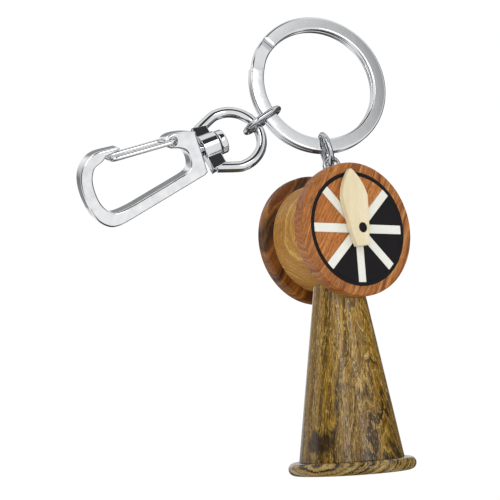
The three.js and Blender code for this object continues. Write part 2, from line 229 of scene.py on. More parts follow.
def bezier(start, control, end, steps):
    """Quadratic curve without its start."""
    curve = []
    for i in range(1, steps + 1):
        t = i / steps
        three = zip(start, control, end)
        curve.append(tuple(a * (1 - t) ** 2 + 2 * b * t * (1 - t) + c * t**2 for a, b, c in three))
    return curve


def arc(r, start, end, steps, centre=(0, 0)):
    """Points on a circle between two angles in degrees, both ends included."""
    angles = [math.radians(start + (end - start) * i / steps) for i in range(steps + 1)]
    return [(centre[0] + r * math.cos(a), centre[1] + r * math.sin(a)) for a in angles]


def rectangle(left, right, low, high):
    """Its corners; turned about an axis with its left side at 0 it makes a plain cylinder."""
    return [(left, low), (right, low), (right, high), (left, high)]


def rounded(points, r, closed=False, steps=4):
    """The corners of a polyline eased with a curve that starts r away from each corner."""
    eased = [] if closed else [points[0]]
    count = len(points)
    for i in range(0 if closed else 1, count if closed else count - 1):
        corner = Vector(points[i])
        before, after = Vector(points[i - 1]), Vector(points[(i + 1) % count])
        back = min(r, (before - corner).length / 2)
        on = min(r, (after - corner).length / 2)
        start = corner + (before - corner).normalized() * back
        end = corner + (after - corner).normalized() * on
        eased += [tuple(start), *bezier(start, corner, end, steps)]
    return eased if closed else [*eased, points[-1]]


def inset(outline, distance):
    """A closed outline moved inwards, each point along the middle of its corner."""
    area = sum(a[0] * b[1] - b[0] * a[1] for a, b in zip(outline, outline[1:] + outline[:1]))
    side = 1 if area > 0 else -1
    moved = []
    for before, here, after in zip(outline[-1:] + outline[:-1], outline, outline[1:] + outline[:1]):
        u = (Vector(here) - Vector(before)).normalized()
        v = (Vector(after) - Vector(here)).normalized()
        normal = Vector((-(u.y + v.y), u.x + v.x)).normalized() * side
        stretch = max(0.5, normal.dot(Vector((-u.y, u.x)) * side))
        moved.append(tuple(Vector(here) + normal * distance / stretch))
    return moved


# ---------------------------------------------------------------- meshes: (points, faces) in millimetres
def skin(loops, closed=False):
    """Quads between loops of equal length; the first and last loop are capped unless the skin is closed."""
    count = len(loops[0])
    points = [point for loop in loops for point in loop]
    faces = []
    for k in range(len(loops) if closed else len(loops) - 1):
        here, there = k * count, ((k + 1) % len(loops)) * count
        for i in range(count):
            j = (i + 1) % count
            faces.append((here + i, here + j, there + j, there + i))
    if not closed:
        faces.append(tuple(range(count)))
        faces.append(tuple(range(len(points) - count, len(points))))
    return points, faces


def prism(outline, front, back, edge, steps=4):
    """An outline in X and Z with thickness along Y and rounded edges on both faces."""
    loops = []
    for k in range(steps + 1):
        turn = math.pi / 2 * k / steps
        flat = inset(outline, edge * (1 - math.sin(turn)))
        loops.append([(x, front + edge * (1 - math.cos(turn)), z) for x, z in flat])
    for k in range(steps + 1):
        turn = math.pi / 2 * (1 - k / steps)
        flat = inset(outline, edge * (1 - math.sin(turn)))
        loops.append([(x, back - edge * (1 - math.cos(turn)), z) for x, z in flat])
    return skin(loops)


def turned(profile, axis, segments=ROUND_SIDES, closed=False):
    """A profile of (radius, station) turned about an axis.

    It starts and ends on the axis unless it is closed.
    """
    loops = []
    for k in range(segments):
        c, s = math.cos(2 * math.pi * k / segments), math.sin(2 * math.pi * k / segments)
        if axis == "X":
            loops.append([(h, r * c, r * s) for r, h in profile])
        elif axis == "Y":
            loops.append([(r * c, h, r * s) for r, h in profile])
        else:
            loops.append([(r * c, r * s, h) for r, h in profile])
    if closed:
        return skin(loops, closed=True)
    count = len(profile)
    points = [loops[0][0], loops[0][-1]]
    inner = [loop[1:-1] for loop in loops]
    points += [point for loop in inner for point in loop]
    rows = count - 2
    faces = []
    for k in range(segments):
        here, there = 2 + k * rows, 2 + ((k + 1) % segments) * rows
        faces.append((0, here, there))
        faces.append((1, there + rows - 1, here + rows - 1))
        for i in range(rows - 1):
            faces.append((here + i, here + i + 1, there + i + 1, there + i))
    return points, faces


def tube(path, r, sides=WIRE_SIDES, closed=False):
    """Round wire along a path; open ends are slightly domed."""
    points = [Vector(p) for p in path]
    count = len(points)
    tangents = []
    for i in range(count):
        before = points[i - 1] if closed or i else points[0]
        after = points[(i + 1) % count] if closed or i < count - 1 else points[-1]
        tangents.append((after - before).normalized())
    normal = tangents[0].orthogonal().normalized()
    loops = []
    for i, (point, tangent) in enumerate(zip(points, tangents)):
        if i:
            normal = tangents[i - 1].rotation_difference(tangent) @ normal
        side = tangent.cross(normal)

        def loop(scale, shift):
            return [
                point + tangent * shift + (normal * math.cos(a) + side * math.sin(a)) * r * scale
                for a in (2 * math.pi * k / sides for k in range(sides))
            ]

        if not closed and i == 0:
            loops += [loop(0.5, -0.2 * r), loop(0.85, -0.12 * r)]
        loops.append(loop(1, 0))
        if not closed and i == count - 1:
            loops += [loop(0.85, 0.12 * r), loop(0.5, 0.2 * r)]
    return skin(loops, closed)


def build(shape, place):
    """A closed mesh object from (points, faces), in metres, with its outward side found."""
    points, faces = shape
    mesh = bpy.data.meshes.new("shape")
    mesh.from_pydata([Vector(p) * MM for p in points], [], faces)
    work = bmesh.new()
    work.from_mesh(mesh)
    bmesh.ops.recalc_face_normals(work, faces=work.faces)
    work.to_mesh(mesh)
    work.free()
    obj = bpy.data.objects.new("shape", mesh)
    obj.matrix_world = place
    bpy.context.scene.collection.objects.link(obj)
    return obj


def combine(obj, operation, *tools):
    """Joins ("UNION") or cuts ("DIFFERENCE") obj with the tools, which are used up."""
    for tool in tools:
        modifier = obj.modifiers.new("combine", "BOOLEAN")
        modifier.operation = operation
        modifier.solver = "EXACT"
        modifier.object = tool
        bpy.context.view_layer.update()
        mesh = bpy.data.meshes.new_from_object(obj.evaluated_get(bpy.context.evaluated_depsgraph_get()))
        obj.modifiers.clear()
        obj.data = mesh
        bpy.data.objects.remove(tool)
    return obj


def piece(obj, name, body, material, nodes=None, crease=32):
    """Names, shades and paints a finished shape, and puts it in the place of its CAD nodes."""
    obj.name = name
    mesh = obj.data
    mesh.name = name
    mesh.materials.clear()
    mesh.materials.append(material)
    mesh.polygons.foreach_set("use_smooth", [True] * len(mesh.polygons))
    mesh.set_sharp_from_angle(angle=math.radians(crease))
    weighted = obj.modifiers.new("flat faces stay flat", "WEIGHTED_NORMAL")
    weighted.keep_sharp = True
    weighted.weight = 80
    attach(obj, body)
    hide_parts(*(nodes or [name]))
    return obj


# ---------------------------------------------------------------- materials
def srgb(code):
    """Linear colour from a hexadecimal sRGB code."""
    channels = [int(code[i : i + 2], 16) / 255 for i in (0, 2, 4)]
    return tuple(c / 12.92 if c <= 0.04045 else ((c + 0.055) / 1.055) ** 2.4 for c in channels) + (1,)


class Recipe:
    """One procedural material. Its coordinates are the piece's own axes, in millimetres."""

    def __init__(self, name, turn=(0, 0, 0), shift=(0, 0, 0)):
        self.material = bpy.data.materials.new(name)
        self.material.use_nodes = True
        self.tree = self.material.node_tree
        self.shader = self.tree.nodes["Principled BSDF"]
        coordinates = self.add("ShaderNodeTexCoord").outputs["Object"]
        mapping = self.add("ShaderNodeMapping", vector_type="TEXTURE")
        mapping.inputs["Location"].default_value = [s * MM for s in shift]
        mapping.inputs["Rotation"].default_value = [math.radians(t) for t in turn]
        mapping.inputs["Scale"].default_value = (MM, MM, MM)
        self.tree.links.new(coordinates, mapping.inputs["Vector"])
        self.place = mapping.outputs["Vector"]

    def add(self, kind, **settings):
        node = self.tree.nodes.new(kind)
        for name, value in settings.items():
            setattr(node, name, value)
        return node

    def set(self, node, **constants):
        """Plain sockets by name, with _ for a space."""
        for name, value in constants.items():
            node.inputs[name.replace("_", " ")].default_value = value

    def feed(self, socket, value):
        if isinstance(value, bpy.types.NodeSocket):
            self.tree.links.new(value, socket)
        else:
            socket.default_value = value

    def maths(self, operation, *values, clamp=False):
        node = self.add("ShaderNodeMath", operation=operation, use_clamp=clamp)
        for socket, value in zip(node.inputs, values):
            self.feed(socket, value)
        return node.outputs[0]

    def times(self, a, b):
        return self.maths("MULTIPLY", a, b)

    def plus(self, field, *others):
        """A coordinate or field with others added to it, each of them (field, weight)."""
        for other, weight in others:
            field = self.maths("ADD", field, self.times(other, weight))
        return field

    def axis(self, name, place=None):
        node = self.add("ShaderNodeSeparateXYZ")
        self.feed(node.inputs[0], place or self.place)
        return node.outputs[name]

    def noise(self, size, detail=2, roughness=0.5, distortion=0):
        """Soft noise whose blobs have this size along X, Y and Z."""
        scaled = self.add("ShaderNodeVectorMath", operation="DIVIDE")
        self.feed(scaled.inputs[0], self.place)
        self.feed(scaled.inputs[1], size)
        node = self.add("ShaderNodeTexNoise")
        self.feed(node.inputs["Vector"], scaled.outputs[0])
        self.set(node, Scale=1, Detail=detail, Roughness=roughness, Distortion=distortion)
        return node.outputs["Fac"]

    def lines(self, where, size, detail=2, roughness=0.5):
        """Noise along one coordinate: bands of uneven width."""
        node = self.add("ShaderNodeTexNoise", noise_dimensions="1D")
        self.feed(node.inputs["W"], self.maths("DIVIDE", where, size))
        self.set(node, Scale=1, Detail=detail, Roughness=roughness)
        return node.outputs["Fac"]

    def ramp(self, where, *stops):
        """Colours or numbers at places from 0 to 1."""
        node = self.add("ShaderNodeValToRGB")
        self.feed(node.inputs[0], where)
        elements = node.color_ramp.elements
        while len(elements) < len(stops):
            elements.new(0.5)
        for element, (position, value) in zip(elements, stops):
            element.position = position
            element.color = value if isinstance(value, tuple) else (value, value, value, 1)
        return node.outputs["Color"]

    def blend(self, share, a, b, how="MIX"):
        node = self.add("ShaderNodeMix", data_type="RGBA", blend_type=how)
        self.feed(node.inputs["Factor"], share)
        self.feed(node.inputs[6], a)
        self.feed(node.inputs[7], b)
        return node.outputs[2]

    def paint(self, color, where, share, tone):
        """A tone laid over a colour, as strongly as the field where it lies times the share."""
        return self.blend(self.times(where, share), color, tone)

    def finish(self, color, roughness, height=None, depth=0.02, **constants):
        """Wires the shader. Height is a bump of that depth in mm; constants are its plain sockets."""
        self.feed(self.shader.inputs["Base Color"], color)
        self.feed(self.shader.inputs["Roughness"], roughness)
        if height is not None:
            bump = self.add("ShaderNodeBump")
            bump.inputs["Distance"].default_value = depth * MM
            self.feed(bump.inputs["Height"], height)
            self.tree.links.new(bump.outputs["Normal"], self.shader.inputs["Normal"])
        self.set(self.shader, **constants)
        return self.material

    def glow(self, strength):
        """Makes a lamp of the material: black itself, and white light of this strength."""
        self.set(self.shader, Base_Color=(0, 0, 0, 1), Emission_Color=(1, 1, 1, 1))
        self.feed(self.shader.inputs["Emission Strength"], strength)
        return self.material


def chrome(name, bright, waviness):
    """Bright plating: a soft waviness under fine handling scratches, duller where it is rubbed."""
    recipe = Recipe(name)
    rubbed = recipe.noise((2.2, 2.2, 2.2), detail=4, roughness=0.6)
    scratches = recipe.noise((0.05, 0.6, 0.9), detail=2, distortion=0.6)
    waves = recipe.noise((1.6, 1.6, 1.6), detail=1)
    color = recipe.ramp(rubbed, (0.3, srgb(bright)), (0.75, srgb("D2D4D6")))
    roughness = recipe.ramp(rubbed, (0.35, 0.035), (0.8, 0.11))
    height = recipe.maths("ADD", recipe.times(waves, waviness), recipe.times(scratches, 0.012))
    return recipe.finish(color, roughness, height, depth=0.05, Metallic=1.0)


def streaked_wood(name, turn, shift, layers, tones, fibre, streaks, gloss, shine=0.35):
    """Solid wood with its fibres along Z: uneven growth layers square to X, pores and fine fibre lines.

    layers is the mean width of a growth layer, tones run from dark to light, and streaks is (share, tone)
    for the darkest layers. fibre is how far the fibre lines darken it, and gloss the roughness at its
    smoothest.
    """
    recipe = Recipe(name, turn, shift)
    drift = recipe.noise((7, 7, 30))
    wander = recipe.noise((1.3, 1.3, 6))
    where = recipe.plus(recipe.axis("X"), (drift, 7), (wander, 1.1))
    bands = recipe.lines(where, layers, detail=5, roughness=0.68)
    color = recipe.ramp(bands, *zip((0.32, 0.5, 0.66), tones))
    threads = recipe.noise((0.15, 0.15, 3.6), detail=3, roughness=0.65)
    color = recipe.blend(1.0, color, recipe.ramp(threads, (0.34, 1 - fibre), (0.64, 1.0)), "MULTIPLY")
    share, tone = streaks
    broad = recipe.lines(where, layers * 2.7, detail=3)
    dark = recipe.ramp(broad, (1 - share - 0.05, 0.0), (1 - share + 0.04, 1.0))
    color = recipe.paint(color, dark, 0.85, tone)
    pores = recipe.noise((0.13, 0.13, 1.7), detail=1)
    pits = recipe.ramp(pores, (0.33, 1.0), (0.39, 0.0))
    color = recipe.paint(color, pits, 0.7, tone)
    roughness = recipe.ramp(recipe.noise((1.1, 1.1, 3), detail=3), (0.3, gloss), (0.75, gloss + 0.16))
    height = recipe.maths("SUBTRACT", threads, recipe.times(pits, 0.8))
    return recipe.finish(color, roughness, height, depth=0.03, Specular_IOR_Level=shine)


# The pedestal's smoky patch: its middle in the wood's own axes, and its radius. The wood also darkens
# towards the foot, over a length that starts at a height in the same axes.
SMOKY = (2.9, -9.3, -42)
SMOKY_R = 4
SHADE_TOP, SHADE_LENGTH = -5, 40
FOOT_SHADE = 0.6


def figured_wood(name, turn, shift, layers, flame, contrast, tones):
    """Olive brown wood of the pedestal: fine yellow lines, flames of light and dark, a smoky patch.

    layers is the mean width of a growth layer and flame how far the layers waver, in millimetres;
    contrast is how strongly the fine lines stand out, and tones run from dark to light.
    """
    recipe = Recipe(name, turn, shift)
    drift = recipe.noise((6, 6, 34))
    wander = recipe.noise((2.2, 2.2, 9))
    wobble = recipe.noise((0.5, 0.5, 1.6))
    where = recipe.plus(recipe.axis("X"), (drift, 2.6 * flame), (wander, flame), (wobble, 0.45))
    bands = recipe.lines(where, layers, detail=3, roughness=0.6)
    color = recipe.ramp(bands, *zip((0.34, 0.45, 0.55, 0.66), tones))
    threads = recipe.noise((0.22, 0.22, 7), detail=3, roughness=0.6)
    color = recipe.blend(1.0, color, recipe.ramp(threads, (0.36, 0.62), (0.56, 1.0)), "MULTIPLY")
    fine = recipe.lines(where, layers * 0.26, detail=3, roughness=0.65)
    breaks = recipe.noise((0.8, 0.8, 3.2))
    high, low = recipe.ramp(fine, (0.57, 0.0), (0.63, 1.0)), recipe.ramp(fine, (0.33, 1.0), (0.41, 0.0))
    bright = recipe.times(high, recipe.ramp(breaks, (0.4, 0.15), (0.55, 1.0)))
    dark = recipe.times(low, recipe.ramp(breaks, (0.4, 1.0), (0.54, 0.15)))
    specks = recipe.ramp(recipe.noise((0.18, 0.18, 3.4), distortion=0.2), (0.6, 0.0), (0.64, 1.0))
    pores = recipe.noise((0.2, 0.2, 3), detail=3, distortion=0.2)
    pits = recipe.ramp(pores, (0.34, 1.0), (0.4, 0.0))
    color = recipe.paint(color, bright, contrast, srgb("E6C069"))
    color = recipe.paint(color, dark, contrast, srgb("2A1903"))
    color = recipe.paint(color, specks, 0.8, srgb("E8C56E"))
    color = recipe.paint(color, pits, 0.8, srgb("1E1102"))
    down = recipe.maths("DIVIDE", recipe.maths("SUBTRACT", SHADE_TOP, recipe.axis("Z")), SHADE_LENGTH)
    color = recipe.blend(1.0, color, recipe.ramp(down, (0.0, 1.0), (1.0, FOOT_SHADE)), "MULTIPLY")
    clouds = recipe.noise((3.6, 3.6, 6), detail=3, distortion=0.8)
    patch = recipe.add("ShaderNodeVectorMath", operation="DISTANCE")
    recipe.feed(patch.inputs[0], recipe.place)
    recipe.feed(patch.inputs[1], SMOKY)
    far = recipe.maths("DIVIDE", patch.outputs["Value"], SMOKY_R)
    near = recipe.maths("SUBTRACT", 1.25, far, clamp=True)
    smoke = recipe.ramp(recipe.plus(clouds, (near, 0.42)), (0.6, 0.0), (0.72, 1.0))
    color = recipe.paint(color, smoke, 0.85, srgb("21160C"))
    roughness = recipe.ramp(recipe.noise((0.5, 0.5, 1.2), detail=3), (0.3, 0.08), (0.75, 0.17))
    height = recipe.maths("SUBTRACT", recipe.plus(threads, (bright, 0.3)), pits)
    return recipe.finish(color, roughness, height, depth=0.02, Specular_IOR_Level=0.45)


def close_grained(name, light, dark, gloss, turn=(0, 25, 0), shine=0.5):
    """Close-grained stuff, such as ebony, boxwood or bone: faint fibres and a few specks.

    gloss is the roughness at its smoothest.
    """
    recipe = Recipe(name, turn)
    clouds = recipe.noise((2.5, 2.5, 8), detail=4, roughness=0.6)
    threads = recipe.noise((0.12, 0.12, 2.2), detail=3, roughness=0.6)
    mixed = recipe.maths("ADD", recipe.times(clouds, 0.6), recipe.times(threads, 0.4))
    color = recipe.ramp(mixed, (0.3, srgb(dark)), (0.62, srgb(light)))
    specks = recipe.ramp(recipe.noise((0.16, 0.16, 0.3), detail=1), (0.27, 1.0), (0.33, 0.0))
    color = recipe.paint(color, specks, 0.35, srgb(dark))
    roughness = recipe.ramp(clouds, (0.3, gloss), (0.75, gloss + 0.14))
    return recipe.finish(color, roughness, threads, depth=0.012, Specular_IOR_Level=shine)


def palette(*codes):
    """Linear colours from sRGB codes, dark to light."""
    return tuple(srgb(code) for code in codes)


CHROME = chrome("chrome", bright="DDDEE0", waviness=0.1)
CAST_CHROME = chrome("chrome on cast zinc", bright="EEEFF0", waviness=0.35)
LINK_STEEL = chrome("plated steel wire", bright="ABACAF", waviness=0.1)
ROSE_TONES = palette("924C18", "CC7C38", "E8A65C")
BACK_TONES = palette("6A3408", "9C5C1C", "BF8034")
DRUM_TONES = palette("AA721C", "DC9A36", "F6C566")
PEDESTAL_TONES = palette("54390A", "835E14", "A87C22", "C3972E")
FLANGE_TONES = palette("2E1C06", "6C4E18", "C29A48", "EBC878")
ROSEWOOD_FRONT = streaked_wood(
    "rosewood front disc", turn=(0, 28, 0), shift=(3, 2, 9), layers=1.1, tones=ROSE_TONES,
    fibre=0.6, streaks=(0.34, srgb("55290C")), gloss=0.26,
)
ROSEWOOD_BACK = streaked_wood(
    "rosewood back disc", turn=(0, 35, 25), shift=(-8, 5, 2), layers=1.9, tones=BACK_TONES,
    fibre=0.4, streaks=(0.4, srgb("1E0E05")), gloss=0.3,
)
ROSEWOOD_DIAL = streaked_wood(
    "rosewood wedges", turn=(0, 32, 10), shift=(5, -3, 4), layers=1.1, tones=ROSE_TONES,
    fibre=0.34, streaks=(0.24, srgb("7A3E14")), gloss=0.4,
)
DRUM_WOOD = streaked_wood(
    "drum wood", turn=(0, 8, 30), shift=(2, 7, 5), layers=1.0, tones=DRUM_TONES,
    fibre=0.55, streaks=(0.2, srgb("7A4E14")), gloss=0.36,
)
PEDESTAL_WOOD = figured_wood(
    "pedestal wood", turn=(0, 0, -85), shift=(0, 0, 0),
    layers=1.0, flame=1.9, contrast=0.85, tones=PEDESTAL_TONES,
)
FLANGE_WOOD = figured_wood(
    "base flange wood", turn=(0, 48, 20), shift=(3, 5, 2),
    layers=0.7, flame=0.35, contrast=0.6, tones=FLANGE_TONES,
)
EBONY = close_grained("ebony", light="151115", dark="0A080A", gloss=0.45, shine=0.2)
BONE = close_grained("bone inlay", light="FBFBF3", dark="F0EFE2", gloss=0.4)
PALE_WOOD = close_grained("pale wood", light="FAEDCB", dark="E9D5A3", gloss=0.45, turn=(0, 8, 0))


# ---------------------------------------------------------------- split ring and links
def split_ring():
    """One flat wire that goes round nearly twice and steps from the front turn to the back turn."""
    lap = RING_BACK_END - RING_FRONT_END
    front_span = 360 - lap
    travel = 2 * front_span + lap
    middle = (RING_OUTER_R + RING_BORE_R) / 2
    half_w, half_t = (RING_OUTER_R - RING_BORE_R) / 2, RING_LEAF_T / 2
    section = rounded(rectangle(-half_t, half_t, -half_w, half_w), RING_CORNER_R, closed=True, steps=5)
    cut, end_scale, steps = 0.5, 0.9, 300
    between = [(cut + (travel - 2 * cut) * i / steps, 1) for i in range(1, steps + 1)]
    stations = [(0, end_scale), (cut, 1), *between, (travel, end_scale)]
    loops = []
    for travelled, scale in stations:
        t = min(1, max(0, (travelled - front_span) / RING_JOG))
        y = (t * t * (3 - 2 * t) - 0.5) * RING_LEAF_PITCH
        a = math.radians(RING_FRONT_END - travelled)
        spots = [(middle + w * scale, y + s * scale) for s, w in section]
        loops.append([(r * math.cos(a), across, r * math.sin(a)) for r, across in spots])
    piece(build(skin(loops), RING_AXES), "split_ring", "ring", CHROME, crease=50)


def oval_link(name, body, length, place):
    """Jump link bent from wire, its slit in the middle of the back side."""
    half = length / 2 - LINK_WIRE_R - LINK_BEND_R
    back = [(LINK_CUT / 2 + (half - LINK_CUT / 2) * i / 4, LINK_BEND_R) for i in range(4)]
    right = arc(LINK_BEND_R, 90, -90, 20, (half, 0))
    left = arc(LINK_BEND_R, 270, 90, 20, (-half, 0))
    outline = [*back, *right, *left, *[(-x, y) for x, y in reversed(back)]]
    wire = tube([(x, y, 0) for x, y in outline], LINK_WIRE_R)
    piece(build(wire, place), name, body, LINK_STEEL)


# ---------------------------------------------------------------- snap hook
def hook_outline():
    """The plate in the swivel's axes: X runs from its end along the pin, Z across towards the gate."""
    outline = [(0.2, -4.4), (0.2, 4.2)]

    def through(*knots):
        outline.extend(spline([outline[-1], *knots], 9))

    through((-1.6, 4.9), (-3.6, 5.4), (-5.1, 5.5), (-6.2, 5.15), (-6.6, 4.4), (-6.4, 3.5), (-5.6, 2.75))
    through((-4.1, 2.2), (-2.9, 1.3), (-2.5, -0.3), (-2.8, -1.9), (-3.9, -2.8), (-5.6, -3.2))
    outline.append((-16.4, -4.9))
    through((-19.3, -5.1), (-21.2, -4.7), (-22.5, -2.7), (-22.9, 0), (-22.6, 2.6), (-21.5, 4.5), (-20.3, 5.0))
    outline.extend([(-19.4, 5.3), (-18.7, 5.95), (-15.9, 6.05)])
    through((-15.4, 6.45), (-15.9, 6.95))
    outline.append((-18.4, 7.3))
    through((-20.3, 7.4), (-22.2, 6.8), (-24.0, 5.2), (-25.0, 2.9), (-25.3, 0.2), (-25.1, -2.5))
    through((-24.3, -5.4), (-22.5, -7.3), (-20.6, -7.8), (-18.2, -7.6))
    outline.append((-0.6, -4.8))
    return outline


def hook_body():
    plate = build(prism(hook_outline(), -PLATE_T / 2, PLATE_T / 2, PLATE_EDGE_R), PLATE_AXES)
    mouth = PIVOT_HOLE_R + 0.2
    hole = [(0, -2), (mouth, -2), (PIVOT_HOLE_R, -1.8), (PIVOT_HOLE_R, 1.8), (mouth, 2), (0, 2)]
    pivot = build(turned(hole, "Y", PLATE_HOLE_SIDES), PLATE_AXES @ shift_by(PIVOT_U, 0, PIVOT_V))
    socket = build(turned(rectangle(0, SWIVEL_BORE_R, -2, 1), "X", PLATE_HOLE_SIDES), PLATE_AXES)
    combine(plate, "DIFFERENCE", pivot, socket)
    piece(plate, "hook_body", "hook", CAST_CHROME)


def gate_wire():
    """One wire: its ends turn into the pivot hole, its legs follow both faces, its bend is under the nose."""
    stop, corner = 0.35, 1
    leg = [(PIVOT_U, -stop, PIVOT_V), (PIVOT_U, -GATE_SIDE, PIVOT_V), (GATE_END_U, -GATE_SIDE, GATE_END_V)]
    path = rounded([*leg, *[(x, -y, z) for x, y, z in reversed(leg)]], corner, steps=8)
    piece(build(tube(path, GATE_WIRE_R), PLATE_AXES), "gate_wire", "gate", CHROME)


def swivel_rivet():
    pin = [(0.9, SWIVEL_PIN_END), (SWIVEL_PIN_R, SWIVEL_PIN_END + 0.2), (SWIVEL_PIN_R, RIVET_HEAD_START)]
    head = [(RIVET_HEAD_R, RIVET_HEAD_START), (RIVET_HEAD_R, RIVET_HEAD_END), (0, RIVET_HEAD_END)]
    profile = [(0, SWIVEL_PIN_END), *rounded([*pin, *head], 0.32)]
    rivet = build(turned(profile, "X", BARREL_SIDES), PLATE_AXES)
    piece(rivet, "swivel_rivet", "hook", CHROME)


def swivel_eye():
    """A bow of round wire that runs into a flat collar with a barrel on the rivet."""
    start, finish = (BOW_START, -BOW_SIDE), (BOW_START, BOW_SIDE)
    bow = spline([start, *arc(BOW_R, -BOW_SWEEP, BOW_SWEEP, 14, (BOW_CENTRE, 0)), finish], 4)
    dropped = EYE_AXES @ shift_by(0, 0, -COLLAR_DROP)
    eye = build(tube([(x, 0, z) for x, z in [start, *bow]], BOW_WIRE_R), dropped)
    bar_outline = [(COLLAR_START, -5), (3.9, -4.5), (3.9, 4.5), (COLLAR_START, 5)]
    bar = build(prism(bar_outline, -COLLAR_HALF_T, COLLAR_HALF_T, edge=0.16, steps=3), dropped)
    barrel_side = rounded(rectangle(0, BARREL_R, COLLAR_START, COLLAR_END), 0.14)
    barrel = build(turned(barrel_side, "X", BARREL_SIDES), EYE_AXES)
    bore = build(turned(rectangle(0, SWIVEL_BORE_R, 0, 6), "X", BORE_SIDES), EYE_AXES)
    combine(eye, "UNION", bar, barrel)
    combine(eye, "DIFFERENCE", bore)
    piece(eye, "swivel_eye", "eye", CHROME)


# ---------------------------------------------------------------- wooden charm
FRONT_SEAT = -HEAD_HALF + FRONT_DISC_T
BACK_SEAT = HEAD_HALF - BACK_DISC_T


def charm_piece(shape, name, slot, material):
    """A piece of the charm. The woods of its head stay out of the metal's reflections."""
    obj = piece(build(shape, CHARM_AXES), name, "charm", material)
    obj.visible_glossy = slot not in ("rosewood", "drum_wood")
    return obj


def drum():
    low, high = FRONT_SEAT + SEAM, BACK_SEAT - SEAM
    profile = rounded(rectangle(0, DRUM_R, low, high), 0.12)
    charm_piece(turned(profile, "Y"), "drum", "drum_wood", DRUM_WOOD)


def front_disc():
    """Turned disc with the shallow recess that holds the dial."""
    face, floor, back = -HEAD_HALF, -HEAD_HALF + INLAY_T + SEAM, FRONT_SEAT
    lip = DIAL_R + SEAM
    rim = rounded([(lip, face), (DISC_R, face), (DISC_R, back), (0, back)], DISC_EDGE_R)
    profile = [(0, floor), (lip, floor), (lip, face + 0.05), (lip + 0.05, face), *rim[1:]]
    charm_piece(turned(profile, "Y"), "front_disc", "rosewood", ROSEWOOD_FRONT)


def back_disc():
    profile = rounded(rectangle(0, DISC_R, BACK_SEAT, HEAD_HALF), DISC_EDGE_R)
    charm_piece(turned(profile, "Y"), "back_disc", "rosewood", ROSEWOOD_BACK)


def inlay(name, outline, slot, material):
    """A slab of the dial's face."""
    slab = prism(outline, -HEAD_HALF, -HEAD_HALF + INLAY_T, INLAY_EDGE_R, steps=2)
    charm_piece(slab, name, slot, material)


def dial_ring():
    low, high = -HEAD_HALF, -HEAD_HALF + INLAY_T
    inner, outer = DIAL_R - DIAL_RING_W, DIAL_R
    section = rounded(rectangle(inner, outer, low, high), INLAY_EDGE_R, closed=True, steps=2)
    charm_piece(turned(section, "Y", closed=True), "dial_ring", "ebony", EBONY)


def spokes():
    half, outer = SPOKE_W / 2, DIAL_R - DIAL_RING_W
    bar = rounded(rectangle(HUB_R, outer, -half, half), SPOKE_CORNER_R, closed=True, steps=3)
    for index in range(SPOKES):
        turn = Matrix.Rotation(2 * math.pi * index / SPOKES, 2)
        inlay(f"spoke_{index + 1}", [tuple(turn @ Vector(point)) for point in bar], "bone", BONE)


def wedge(name, index, slot, material):
    """The wedge after one spoke, its straight sides along that spoke and the next."""
    step = 360 / SPOKES
    r, side = DIAL_R - DIAL_RING_W - SEAM, SPOKE_W / 2 + SEAM
    slant = math.degrees(math.asin(side / r))
    apex = side / math.sin(math.radians(step / 2))
    middle = math.radians((index + 0.5) * step)
    outline = [
        (apex * math.cos(middle), apex * math.sin(middle)),
        *arc(r, index * step + slant, (index + 1) * step - slant, 12),
    ]
    inlay(name, outline, slot, material)


def dial():
    """Wood fills the four wedges from the upper right over the top to the lower left, ebony the others."""
    dial_ring()
    inlay("dial_hub", arc(HUB_R - SEAM, 0, 352.5, 47), "ebony", EBONY)
    spokes()
    for k in range(4):
        wedge(f"dial_wood_{k + 1}", 1 + k, "rosewood", ROSEWOOD_DIAL)
        wedge(f"dial_ebony_{k + 1}", (5 + k) % SPOKES, "ebony", EBONY)


def pointer():
    side = [(1.5, -POINTER_TAIL)]
    side += bezier(side[-1], (2.7, 1.5), (3.15, 6.4), 12)
    side += bezier(side[-1], (2.6, 9.6), (0.15, POINTER_TIP), 14)
    outline = side + [(-x, z) for x, z in reversed(side)]
    back = -HEAD_HALF - POINTER_LIFT
    place = CHARM_AXES @ turn_by(-POINTER_TILT, "Y") @ shift_by(-POINTER_SIDE, 0, 0)
    plate = build(prism(outline, back - POINTER_T, back, edge=0.14, steps=3), place)
    hole = turned(rectangle(0, PIN_R + 0.06, back - 2, back + 1), "Y", BORE_SIDES)
    combine(plate, "DIFFERENCE", build(hole, place @ shift_by(POINTER_SIDE, 0, 0)))
    piece(plate, "pointer", "pointer", PALE_WOOD)


def pointer_pin():
    tip = -HEAD_HALF - PIN_PROUD
    side = [(0.7 * PIN_R, tip + 0.08), (PIN_R, tip + 0.3), (PIN_R, -HEAD_HALF)]
    profile = rounded([(0, tip), *side, (0, -HEAD_HALF)], 0.3)
    charm_piece(turned(profile, "Y", BORE_SIDES), "pointer_pin", "ebony", EBONY)


def screw_eye():
    """A wire loop on a threaded shank in the top of the drum."""
    place = CHARM_AXES @ shift_by(EYE_SIDE, 0, 0)
    ring = [(x, 0, z) for x, z in arc(EYE_LOOP_R, 0, 355, 71, (0, EYE_HEIGHT))]
    loop = build(tube(ring, EYE_WIRE_R, closed=True), place)
    neck = EYE_HEIGHT - EYE_LOOP_R
    low = DRUM_R - EYE_SHANK_DEPTH
    thread = []
    for i in range(THREAD_TURNS):
        z = low + 0.3 + (DRUM_R - low) * i / THREAD_TURNS
        thread += [(EYE_SHANK_R, z), (EYE_SHANK_R - THREAD_DEPTH, z + 0.2)]
    above = [(EYE_SHANK_R, DRUM_R + 0.25), (EYE_SHANK_R, neck - 0.3), (EYE_WIRE_R, neck), (0, neck + 0.1)]
    shank = turned([(0, low), *thread, *above], "Z", SHANK_SIDES)
    combine(loop, "UNION", build(shank, place))
    piece(loop, "screw_eye", "charm", LINK_STEEL, crease=45)


